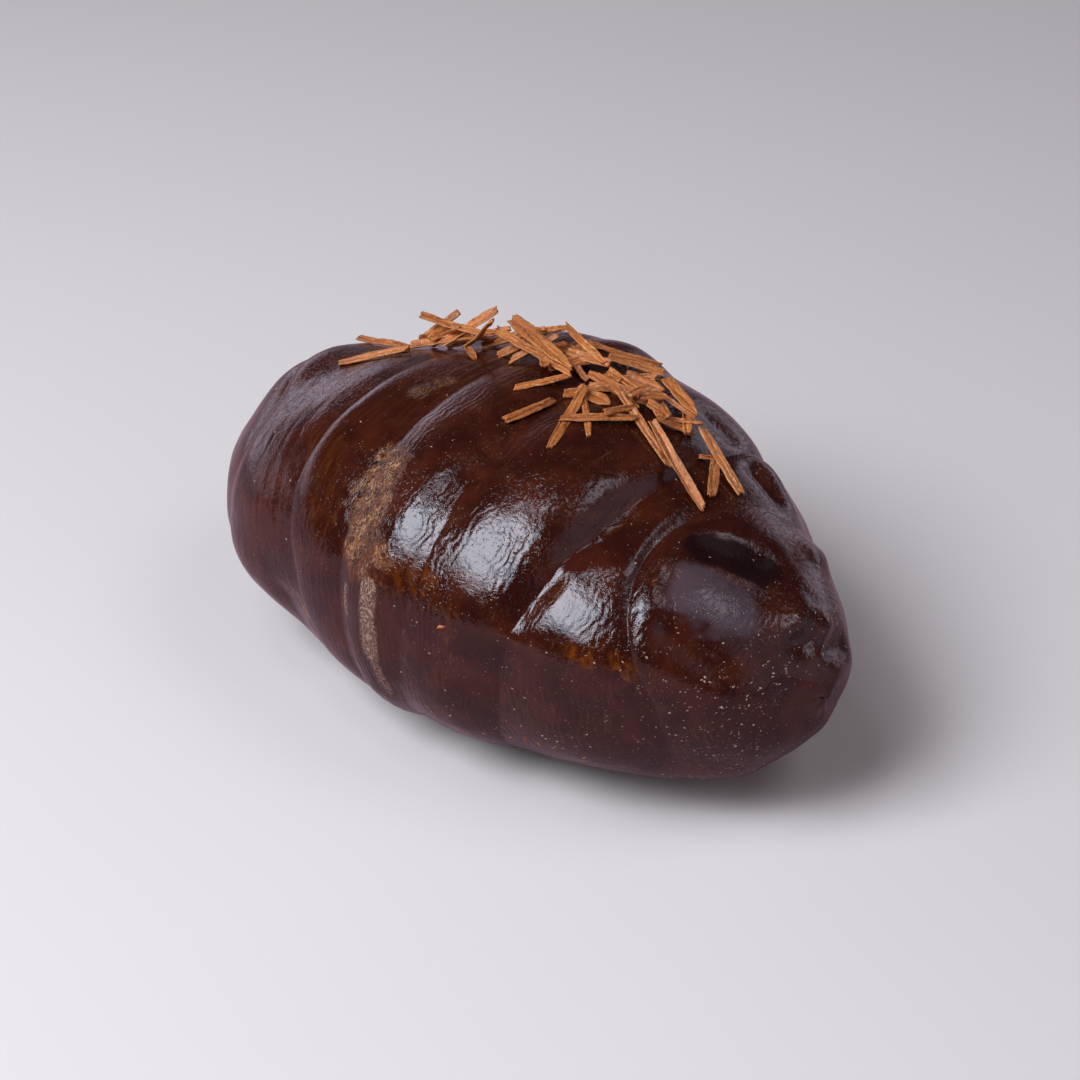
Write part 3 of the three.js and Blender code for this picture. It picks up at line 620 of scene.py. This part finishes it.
def shred_mesh(number, path, across, width, curl):
    """A torn, fibrous strip along its path: points, faces, its strand coordinates, and where painted shade
    lies along its groove and a painted sheen on its edges.
    """
    key = np.array([number * 7.3, 0.0, 0.0])
    share = np.linspace(0, 1, SHRED_ROWS)[:, None]
    sides = np.linspace(-1, 1, SHRED_COLUMNS)
    start, stop = torn_ends(sides, key)
    along = start + (stop - start) * share
    steps = along * (len(path) - 1)
    middle = np.stack([np.interp(steps, np.arange(len(path)), path[:, axis]) for axis in range(3)], -1)
    length = np.linalg.norm(path[-1] - path[0])
    up = np.cross((path[-1] - path[0]) / length, across)
    up /= np.linalg.norm(up)
    spot = along * length
    spot_key = on_a_line(spot) + key
    edge_key = spot_key + np.where(sides < 0, 0.0, 60.0)[:, None] * (0, 1, 0)
    # Narrower towards both ends, with ragged edges
    start_loss, stop_loss, groove_at = 0.5 + 0.5 * noise(key + np.eye(3) * 5, 0.9, 41)
    start_loss = 0.02 + 0.35 * start_loss
    stop_loss = 0.08 + 0.42 * stop_loss if width < WIDE_SHRED else 0.8
    near_start = np.clip(1 - 4 * share, 0, 1) ** 1.3
    near_stop = np.clip(3.5 * share - 2.5, 0, 1) ** 1.3
    taper = 1 - start_loss * near_start - stop_loss * near_stop
    ragged = 1.02 + 0.10 * noise(edge_key, 2.6, 33) + 0.07 * noise(edge_key, 0.7, 34)
    half = width / 2 * taper * ragged
    # Wavy, bowed and twisted along its length, and curled and fibrous across it
    wave = 0.20 * noise(spot_key, 7.0, 35) + 0.06 * noise(spot_key, 2.8, 36)
    bow = 0.35 * noise(spot_key + (0, 40, 0), 11.0, 37)
    twist = 0.35 * noise(spot_key, 14.0, 38) * sides
    fibre_key = on_a_line(spot / 9, sides * 2.4) + key
    fringe_key = edge_key + sides[:, None] * (0, 1.5, 0)
    fibres = 0.13 * noise(fibre_key, 0.55, 39) + 0.07 * noise(fringe_key, 0.5, 42)
    rise = SHRED_CURL * curl * width * sides ** 2 + wave + twist * half + fibres
    centre = middle + across * (sides * half + bow)[..., None]
    centre = centre + up * (rise + SHRED_THICKNESS / 2 - SHRED_SINK)[..., None]
    # Thin at its edges, with a groove that wanders along the top
    thickness = SHRED_THICKNESS * (1 - 0.72 * sides ** 2) * (0.8 + 0.25 * noise(spot_key, 1.7, 40))
    wander = groove_at - 0.5 + 0.4 * noise(spot_key, 6.0, 43)
    groove = np.exp(-(((sides - wander) / GROOVE_SPREAD) ** 2))
    over = centre + up * (thickness / 2 - GROOVE_DEPTH * groove)[..., None]
    below = centre - up * (thickness / 2)[..., None]
    rings = np.concatenate([over, below[:, ::-1]], axis=1)
    # Painted shade along the groove, and a painted sheen at the thin edges
    painted_groove_shade_and_edge_sheen = groove - smoothstep(0.6, 1.0, np.abs(sides))
    strand = np.stack([spot, sides * half, np.full(spot.shape, number * 3.7), painted_groove_shade_and_edge_sheen], -1)
    strands = np.concatenate([strand, strand[:, ::-1]], axis=1)
    return rings.reshape(-1, 3), strip_faces(SHRED_ROWS, SHRED_COLUMNS), strands.reshape(-1, 4)


def join(parts):
    """Points, faces and the values of each point of several small meshes, as one mesh."""
    points = []
    faces = []
    values = []
    count = 0
    for part_points, part_faces, part_values in parts:
        faces += [tuple(corner + count for corner in face) for face in part_faces]
        points.append(part_points)
        values.append(part_values)
        count += len(part_points)
    return np.concatenate(points), faces, np.concatenate(values)


def make_shreds(material):
    """The heap of shreds, each laid on those below it."""
    loaf = loaf_heights()
    heap = loaf_heights()
    shreds = sorted(strewn_shreds() + PLACED_SHREDS, key=lambda shred: shred[6] + shred[7])
    parts = []
    for number, shred in enumerate(shreds):
        parts.append(shred_mesh(number, *lay_shred(shred, loaf, heap)))
    points, faces, strands = join(parts)
    piece = make_piece("crisp_shreds", points, faces, material)
    add_attribute(piece, "strand", "FLOAT_VECTOR", strands[:, :3] * MM)
    # Where the painted groove shade and edge sheen go
    add_attribute(piece, "painted_groove_shade_and_edge_sheen", "FLOAT", strands[:, 3])
    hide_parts("salt_bread")


# Specks and crumbs: uneven eight-sided grains
GRAIN_CORNERS = np.array([
    (1, 0, 0), (0.2, 0.9, 0.1), (-0.9, 0.3, 0), (-0.3, -0.9, 0.1), (0.1, 0, 0.8), (0, 0.1, -0.8),
])
GRAIN_FACES = [(0, 1, 4), (1, 2, 4), (2, 3, 4), (3, 0, 4), (1, 0, 5), (2, 1, 5), (3, 2, 5), (0, 3, 5)]
GRAIN_UNEVEN = 0.25
GRAIN_HEIGHT = 0.3
GRAIN_LIFT = 0.3
SPECKS = 2300
SPECK_TRIES = 8 * SPECKS
SPECK_SEED = 5
SPECK_SINK = 0.5
CRUMB_SEED = 8
CRUMB_SINK = 0.2
CRUMB_WIDTH = 0.45
# Crumbs of the shreds that have dropped on the side: x, angle round the loaf, length
CRUMBS = [
    (10.6, 12, 2.2), (18.8, -27, 1.3), (23.8, -28, 1.2), (27.0, -25, 2.6),
    (29.0, -25, 1.6), (31.0, -24, 1.2), (34.4, -27, 1.4), (-52.0, 64, 1.0),
    (-49.0, 76, 0.9), (12.0, 205, 1.6), (-14.0, 215, 1.3), (33.0, 190, 1.5),
]


def surface_frames(stations, angles):
    """Points of the fine loaf surface, with the outward way and the ways along and around it."""
    step = 0.15
    turn = step / 30
    points = loaf_surface(stations, angles, fine=True)
    along = loaf_surface(stations + step, angles) - loaf_surface(stations - step, angles)
    around = loaf_surface(stations, angles + turn) - loaf_surface(stations, angles - turn)
    along /= np.linalg.norm(along, axis=-1, keepdims=True)
    around /= np.linalg.norm(around, axis=-1, keepdims=True)
    outward = np.cross(around, along)
    outward /= np.linalg.norm(outward, axis=-1, keepdims=True)
    return points, outward, along, around


def grains(frames, lengths, widths, turns, sink, draw):
    """Small uneven grains on the surface, one for each of the frames, each with a random tone."""
    parts = []
    for point, outward, along, around, length, width, turn in zip(*frames, lengths, widths, turns):
        run = along * math.cos(turn) + around * math.sin(turn)
        aside = np.cross(outward, run)
        height = GRAIN_HEIGHT * width
        corners = GRAIN_CORNERS * (1 + GRAIN_UNEVEN * (draw.random((len(GRAIN_CORNERS), 1)) - 0.5))
        shape = corners[:, :1] * run * length / 2 + corners[:, 1:2] * aside * width / 2
        shape = shape + corners[:, 2:] * outward * height
        middle = point + outward * (GRAIN_LIFT - sink) * height
        parts.append((middle + shape, GRAIN_FACES, np.full(len(GRAIN_CORNERS), draw.random())))
    return join(parts)


def make_specks(material):
    """Pale grains caught in the glaze, thickest low on the side and towards the pointed end."""
    draw = np.random.default_rng(SPECK_SEED)
    stations = draw.uniform(-58, 61, SPECK_TRIES)
    angles = np.radians(draw.uniform(-60, 240, SPECK_TRIES))
    places = loaf_surface(stations, angles)
    low = smoothstep(46, 30, places[:, 2])
    near = smoothstep(-30, 45, places[:, 0])
    clumps = smoothstep(-0.3, 0.6, noise(places, 8.0, 51))
    chance = (0.12 + 0.88 * low * near) * (0.25 + 0.75 * clumps)
    chosen = np.flatnonzero(draw.random(SPECK_TRIES) < chance)[:SPECKS]
    lengths = 0.18 + 0.50 * draw.random(len(chosen)) ** 3
    widths = lengths * draw.uniform(0.3, 0.75, len(chosen))
    turns = draw.uniform(-0.6, 1.6, len(chosen))
    frames = surface_frames(stations[chosen], angles[chosen])
    points, faces, tones = grains(frames, lengths, widths, turns, SPECK_SINK, draw)
    piece = make_piece("pale_specks", points, faces, material, smooth=False)
    add_attribute(piece, "tone", "FLOAT", tones)


def make_crumbs(material):
    """Broken bits of the shreds, stuck to the glaze."""
    draw = np.random.default_rng(CRUMB_SEED)
    stations, degrees, lengths = np.array(CRUMBS).T
    turns = draw.uniform(-0.5, 2.5, len(CRUMBS))
    frames = surface_frames(stations, np.radians(degrees))
    points, faces, _ = grains(frames, lengths, lengths * CRUMB_WIDTH, turns, CRUMB_SINK, draw)
    piece = make_piece("shred_crumbs", points, faces, material, smooth=False)
    add_attribute(piece, "strand", "FLOAT_VECTOR", points * MM)


# Materials: colours as red, green, blue and opacity
DARK_GLAZE = (0.030, 0.0044, 0.0020, 1)
BROWN_GLAZE = (0.070, 0.0130, 0.0052, 1)
AMBER_DARK = (0.040, 0.0055, 0.0010, 1)
AMBER_LIGHT = (0.135, 0.036, 0.005, 1)
AMBER_BRIGHT = (0.165, 0.036, 0.002, 1)
GOLD = (0.24, 0.105, 0.040, 1)
CURL_DARK = (0.17, 0.044, 0.004, 1)
CURL_LIGHT = (0.50, 0.250, 0.100, 1)
CRUST_DARK = (0.12, 0.050, 0.026, 1)
CRUST_LIGHT = (0.42, 0.26, 0.165, 1)
TAN_DOTS = (0.30, 0.17, 0.105, 1)
# A painted grey sheen for the satin patch
PAINTED_SHEEN_GREY = (0.093, 0.060, 0.068, 1)
# Painted shade for the dent
PAINTED_SHADE_DARK = (0.012, 0.0045, 0.0050, 1)
SHRED_DEEP = (0.24, 0.056, 0.011, 1)
SHRED_MIDDLE = (0.80, 0.270, 0.062, 1)
SHRED_LIGHT = (0.96, 0.55, 0.24, 1)
DARKER_SHREDS = (0.58, 0.46, 0.36, 1)
PALER_SHREDS = (0.93, 0.88, 0.82, 1)
SPECK_DARK = (0.22, 0.105, 0.055, 1)
SPECK_PALE = (0.50, 0.35, 0.25, 1)
FLOOR_MIRRORED = ((0.47, 0.300, 0.320, 1), (0.49, 0.320, 0.340, 1))
FLOOR_SEEN = ((0.83, 0.76, 0.69, 1), (0.86, 0.79, 0.72, 1))


class Nodes:
    """A small helper that adds and links the shader nodes of a material or world."""

    def __init__(self, owner):
        owner.use_nodes = True
        self.owner = owner
        self.tree = owner.node_tree

    def link(self, value, socket):
        if hasattr(value, "is_linked"):
            self.tree.links.new(value, socket)
        else:
            socket.default_value = value

    def add(self, kind, inputs=(), **settings):
        node = self.tree.nodes.new(kind)
        for name, value in settings.items():
            setattr(node, name, value)
        for name, value in dict(inputs).items():
            self.link(value, node.inputs[name])
        return node

    def attribute(self, name, field="Fac"):
        return self.add("ShaderNodeAttribute", attribute_name=name).outputs[field]

    def place(self, kind="Object"):
        return self.add("ShaderNodeTexCoord").outputs[kind]

    def seen_straight(self):
        return self.add("ShaderNodeLightPath").outputs["Is Camera Ray"]

    def noise(self, vector, scale, detail=3.0, roughness=0.55, distortion=0.0):
        inputs = {"Vector": vector, "Scale": scale, "Detail": detail, "Roughness": roughness}
        return self.add("ShaderNodeTexNoise", inputs | {"Distortion": distortion}).outputs["Fac"]

    def curls(self, vector, scale, distortion, detail_scale):
        """Curling lines: bands that noise bends back on themselves."""
        inputs = {"Vector": vector, "Scale": scale, "Distortion": distortion}
        detail = {"Detail": 2.0, "Detail Scale": detail_scale, "Detail Roughness": 0.6}
        return self.add("ShaderNodeTexWave", inputs | detail).outputs["Fac"]

    def maths(self, operation, first, second):
        return self.add("ShaderNodeMath", {0: first, 1: second}, operation=operation).outputs[0]

    def ramp(self, value, low, high, start=0.0, stop=1.0):
        inputs = {"Value": value, "From Min": low, "From Max": high, "To Min": start, "To Max": stop}
        return self.add("ShaderNodeMapRange", inputs, interpolation_type="SMOOTHSTEP").outputs[0]

    def mix(self, share, first, second, blend="MIX"):
        inputs = {0: share, 6: first, 7: second}
        return self.add("ShaderNodeMix", inputs, data_type="RGBA", blend_type=blend).outputs[2]

    def stretch(self, vector, scale):
        return self.add("ShaderNodeMapping", {"Vector": vector, "Scale": scale}).outputs[0]

    def bump(self, height, distance, under=None):
        """A normal bent by the height, over the bumps under it."""
        inputs = {"Height": height, "Distance": distance}
        if under is not None:
            inputs["Normal"] = under
        return self.add("ShaderNodeBump", inputs).outputs[0]


def new_material(name):
    """The nodes of a new material, and its shader."""
    nodes = Nodes(bpy.data.materials.new(name))
    return nodes, nodes.tree.nodes["Principled BSDF"]


def set_inputs(shader, **values):
    for name, value in values.items():
        shader.inputs[name.replace("_", " ")].default_value = value


def glaze_curls(nodes, place):
    """Fine curling fibres that cross each other."""
    first = nodes.ramp(nodes.curls(place, 420, 30.0, 0.8), 0.66, 1.0)
    turned = nodes.stretch(place, (-1, 0.8, 1.2))
    second = nodes.ramp(nodes.curls(turned, 300, 30.0, 0.7), 0.72, 1.0)
    return nodes.maths("MAXIMUM", first, second)


def glaze_colour(nodes, place, wrap, marks, curls):
    """Dark and brown clouds with gold grain, under what each patch shows, with a painted grey sheen on the
    satin patch and painted shade in the hollow.
    """
    clouds = nodes.noise(place, 130, 3.0, 0.55, 0.5)
    coloured = nodes.mix(nodes.ramp(clouds, 0.35, 0.75), DARK_GLAZE, BROWN_GLAZE)
    # Gold grain in streaks along the wraps
    streaks = nodes.noise(nodes.stretch(wrap, (1500, 110, 1)), 1.0, 4.0, 0.65, 0.8)
    mottles = nodes.noise(place, 190, 2.0, 0.6, 1.0)
    stipple = nodes.noise(place, 2300, 2.0, 0.6)
    grained = nodes.maths("MAXIMUM", nodes.ramp(streaks, 0.54, 0.78), nodes.ramp(stipple, 0.54, 0.74))
    gilt = nodes.maths("MULTIPLY", grained, nodes.ramp(mottles, 0.46, 0.66, 0.0, 0.32))
    coloured = nodes.mix(gilt, coloured, GOLD)
    # Amber where the glaze is thin
    flecks = nodes.noise(nodes.stretch(wrap, (1100, 190, 1)), 1.0, 4.0, 0.62, 0.9)
    amber = nodes.mix(nodes.ramp(flecks, 0.40, 0.84), AMBER_DARK, AMBER_LIGHT)
    blots = nodes.ramp(nodes.noise(place, 420, 4.0, 0.66, 0.8), 0.44, 0.72)
    thinnest = nodes.ramp(marks["thin"], 0.6, 1.0)
    amber = nodes.mix(nodes.maths("MULTIPLY", thinnest, blots), amber, AMBER_BRIGHT)
    coloured = nodes.mix(marks["thin"], coloured, amber)
    # Golden fibres in the curly patches, and crust in the bare ones
    broken = nodes.ramp(nodes.noise(place, 520, 4.0, 0.7), 0.40, 0.62, 0.05, 1.0)
    wisps = nodes.maths("MULTIPLY", curls, broken)
    patchy = nodes.ramp(nodes.noise(place, 330, 3.0, 0.6, 0.6), 0.35, 0.65)
    fibrous = nodes.mix(wisps, nodes.mix(patchy, AMBER_DARK, CURL_DARK), CURL_LIGHT)
    curly = nodes.maths("MULTIPLY", marks["curly"], nodes.ramp(mottles, 0.25, 0.5))
    coloured = nodes.mix(curly, coloured, fibrous)
    coloured = nodes.mix(marks["bare"], coloured, nodes.mix(curls, CRUST_DARK, CRUST_LIGHT))
    # Tan dots in a tenth of the cells
    cells = nodes.add("ShaderNodeTexVoronoi", {"Vector": place, "Scale": 1300})
    lot = nodes.add("ShaderNodeSeparateColor", {"Color": cells.outputs["Color"]}).outputs[0]
    round_dots = nodes.ramp(cells.outputs["Distance"], 0.20, 0.12)
    dots = nodes.maths("MULTIPLY", round_dots, nodes.ramp(lot, 0.90, 0.92))
    coloured = nodes.mix(nodes.maths("MULTIPLY", dots, 0.55), coloured, TAN_DOTS)
    # A painted grey sheen on the satin patch
    coloured = nodes.mix(nodes.maths("MULTIPLY", marks["satin_and_painted_sheen"], 0.8), coloured, PAINTED_SHEEN_GREY)
    # Painted shade in the dent
    return nodes.mix(nodes.maths("MULTIPLY", marks["painted_shade_hollow"], 0.9), coloured, PAINTED_SHADE_DARK)


def glaze_normal(nodes, place, wrap, marks, curls):
    """Waves and rings that crinkle the highlights, pimples, fibres, and the satin patch's grain."""
    along = nodes.add("ShaderNodeSeparateXYZ", {"Vector": wrap}).outputs[0]
    past_the_curls = nodes.ramp(along, -0.024, -0.006, 0.15, 1.0)
    rings = nodes.maths("MULTIPLY", nodes.curls(place, 230, 14.0, 0.6), past_the_curls)
    crinkled = nodes.ramp(nodes.noise(place, 90, 2.0, 0.5), 0.36, 0.60, 0.2, 1.0)
    waves = nodes.noise(place, 520, 4.0, 0.62, 0.8)
    pimples = nodes.ramp(nodes.noise(place, 1900, 2.0, 0.5, 0.4), 0.5, 0.85)
    fibrous = nodes.maths("MAXIMUM", marks["curly"], marks["bare"])
    pimpled = nodes.maths("ADD", crinkled, nodes.maths("MULTIPLY", fibrous, 1.6))
    satin = nodes.maths("MULTIPLY", marks["satin_and_painted_sheen"], nodes.noise(place, 2600, 3.0, 0.6))
    normal = nodes.bump(waves, 0.00010)
    normal = nodes.bump(nodes.maths("MULTIPLY", rings, crinkled), 0.000042, normal)
    normal = nodes.bump(nodes.maths("MULTIPLY", pimples, pimpled), 0.000060, normal)
    normal = nodes.bump(nodes.maths("MULTIPLY", curls, fibrous), 0.00011, normal)
    return nodes.bump(satin, 0.000045, normal)


def glaze_material():
    nodes, shader = new_material("chocolate_glaze")
    place = nodes.place()
    wrap = nodes.attribute("wrap", "Vector")
    marks = {name: nodes.attribute(name) for name in PATCHES}
    curls = glaze_curls(nodes, place)
    normal = glaze_normal(nodes, place, wrap, marks, curls)
    nodes.link(glaze_colour(nodes, place, wrap, marks, curls), shader.inputs["Base Color"])
    # Little coat where the painted shade is, so the dent mirrors almost nothing
    nodes.link(nodes.ramp(marks["painted_shade_hollow"], 0.0, 0.9, 1.0, 0.05), shader.inputs["Coat Weight"])
    nodes.link(normal, shader.inputs["Normal"])
    nodes.link(normal, shader.inputs["Coat Normal"])
    set_inputs(shader, Roughness=0.40, IOR=1.45, Specular_IOR_Level=0.02)
    set_inputs(shader, Coat_Weight=1.0, Coat_Roughness=0.06, Coat_IOR=1.5)
    return nodes.owner


def shred_material():
    nodes, shader = new_material("crisp_shreds")
    strand = nodes.attribute("strand", "Vector")
    painted_groove_shade_and_edge_sheen = nodes.attribute("painted_groove_shade_and_edge_sheen")
    fibres = nodes.noise(nodes.stretch(strand, (220, 2300, 1000)), 1.0, 4.0, 0.65, 0.4)
    grain = nodes.noise(nodes.stretch(strand, (1500, 1900, 1000)), 1.0, 3.0, 0.6)
    each = nodes.noise(nodes.stretch(strand, (60, 60, 1000)), 1.0, 2.0, 0.5)
    coloured = nodes.mix(nodes.ramp(fibres, 0.33, 0.52), SHRED_DEEP, SHRED_MIDDLE)
    coloured = nodes.mix(nodes.ramp(grain, 0.50, 0.74), coloured, SHRED_LIGHT)
    # Painted shade along the groove, and a painted sheen at the edges
    coloured = nodes.mix(nodes.ramp(painted_groove_shade_and_edge_sheen, 0.25, 1.0, 0.0, 0.45), coloured, SHRED_DEEP)
    coloured = nodes.mix(nodes.ramp(painted_groove_shade_and_edge_sheen, -0.2, -1.0, 0.0, 0.35), coloured, SHRED_LIGHT)
    shade = nodes.mix(nodes.ramp(each, 0.3, 0.7), DARKER_SHREDS, PALER_SHREDS)
    nodes.link(nodes.mix(1.0, coloured, shade, "MULTIPLY"), shader.inputs["Base Color"])
    normal = nodes.bump(grain, 0.00020, nodes.bump(fibres, 0.00030))
    nodes.link(normal, shader.inputs["Normal"])
    set_inputs(shader, Roughness=0.36, IOR=1.5)
    return nodes.owner


def speck_material():
    nodes, shader = new_material("pale_specks")
    coloured = nodes.mix(nodes.attribute("tone"), SPECK_DARK, SPECK_PALE)
    nodes.link(coloured, shader.inputs["Base Color"])
    set_inputs(shader, Roughness=0.45, IOR=1.45)
    return nodes.owner


def floor_material():
    """Pale, and darker and rosier in what the glaze mirrors."""
    nodes, shader = new_material("pale_floor")
    soft = nodes.noise(nodes.place(), 6, 2.0, 0.5)
    mirrored = nodes.mix(soft, *FLOOR_MIRRORED)
    seen = nodes.mix(soft, *FLOOR_SEEN)
    nodes.link(nodes.mix(nodes.seen_straight(), mirrored, seen), shader.inputs["Base Color"])
    set_inputs(shader, Roughness=0.85)
    return nodes.owner


# Stage, light and camera, in metres
FLOOR_HALF = 2.0
BREAD_MIDDLE = Vector((0, 0, 0.03))
KEY_COLOUR = (0.80, 0.86, 1.0)
SECOND_COLOUR = (0.85, 0.88, 1.0)
# Square soft lights: name, azimuth from the camera, elevation, distance, size, the brightness of
# the face, and colour
LIGHTS = [
    ("overhead", -70, 76, 0.80, (0.13, 0.12), 6.0, KEY_COLOUR),
    ("key", -56, 47, 0.80, (0.54, 0.56), 5.0, KEY_COLOUR),
    ("key_middle", -57, 48, 0.75, (0.36, 0.34), 7.0, KEY_COLOUR),
    ("second", 80, 61, 0.85, (0.34, 0.34), 2.3, SECOND_COLOUR),
]
# What the glaze mirrors: azimuth from the camera, elevation, the angles at which the glow is full
# and gone, and its brightness
GLOWS = [
    (-122, -4, 12, 26, 0.9),
    (-150, -5, 12, 24, 1.05),
    (-166, 2, 4, 20, 0.2),
    (62, 12, 10, 50, 0.45),
    (136, 1, 8, 29, 1.0),
]
AMBIENT = 0.038
GLOW_TINT = (0.90, 0.81, 1.0, 1)
BACKDROP = (0.95, 0.95, 0.96, 1)


def make_floor():
    half = FLOOR_HALF
    mesh = bpy.data.meshes.new("floor")
    corners = [(-half, -half, 0), (half, -half, 0), (half, half, 0), (-half, half, 0)]
    mesh.from_pydata(corners, [], [(0, 1, 2, 3)])
    mesh.materials.append(floor_material())
    floor = bpy.data.objects.new("floor", mesh)
    bpy.context.scene.collection.objects.link(floor)


def studio_direction(azimuth, elevation):
    """A way out from the bread: azimuth in degrees from the camera, to its right."""
    azimuth = VIEW_AZIMUTH + math.radians(azimuth)
    elevation = math.radians(elevation)
    flat = Vector((math.sin(azimuth), -math.cos(azimuth), 0)) * math.cos(elevation)
    return flat + Vector((0, 0, math.sin(elevation)))


def make_light(name, azimuth, elevation, distance, size, radiance, colour):
    """A soft light that faces the bread."""
    light = bpy.data.lights.new(name, "AREA")
    light.shape = "RECTANGLE"
    light.size = size[0]
    light.size_y = size[1]
    light.energy = radiance * math.pi * size[0] * size[1]
    light.color = colour
    lamp = bpy.data.objects.new(name, light)
    bpy.context.scene.collection.objects.link(lamp)
    direction = studio_direction(azimuth, elevation)
    lamp.location = BREAD_MIDDLE + direction * distance
    lamp.rotation_mode = "QUATERNION"
    lamp.rotation_quaternion = direction.to_track_quat("Z", "Y")


def make_world():
    """A dim studio with soft glows round the bread, before a pale backdrop."""
    world = bpy.data.worlds.new("studio")
    bpy.context.scene.world = world
    nodes = Nodes(world)
    way = nodes.place("Generated")
    total = AMBIENT
    for azimuth, elevation, full, gone, brightness in GLOWS:
        toward = {0: way, 1: studio_direction(azimuth, elevation)}
        facing = nodes.add("ShaderNodeVectorMath", toward, operation="DOT_PRODUCT").outputs["Value"]
        far = math.cos(math.radians(gone))
        close = math.cos(math.radians(full))
        total = nodes.maths("ADD", total, nodes.ramp(facing, far, close, 0.0, brightness))
    mirrored = nodes.mix(1.0, total, GLOW_TINT, "MULTIPLY")
    background = nodes.tree.nodes["Background"]
    nodes.link(nodes.mix(nodes.seen_straight(), mirrored, BACKDROP), background.inputs["Color"])


def make_camera():
    back = studio_direction(0, math.degrees(VIEW_ELEVATION))
    aside = Vector((math.cos(VIEW_AZIMUTH), math.sin(VIEW_AZIMUTH), 0))
    target = aside * VIEW_ASIDE + back.cross(aside) * VIEW_UP
    data = bpy.data.cameras.new("camera")
    data.lens = LENS
    data.sensor_width = SENSOR
    camera = bpy.data.objects.new("camera", data)
    bpy.context.scene.collection.objects.link(camera)
    camera.location = target + back * VIEW_DISTANCE
    camera.rotation_mode = "QUATERNION"
    camera.rotation_quaternion = (-back).to_track_quat("-Z", "Y")
    bpy.context.scene.camera = camera


make_loaf(glaze_material())
shred_look = shred_material()
make_shreds(shred_look)
make_crumbs(shred_look)
make_specks(speck_material())
make_floor()
for soft_light in LIGHTS:
    make_light(*soft_light)
make_world()
make_camera()
bpy.context.scene.view_settings.view_transform = "Standard"
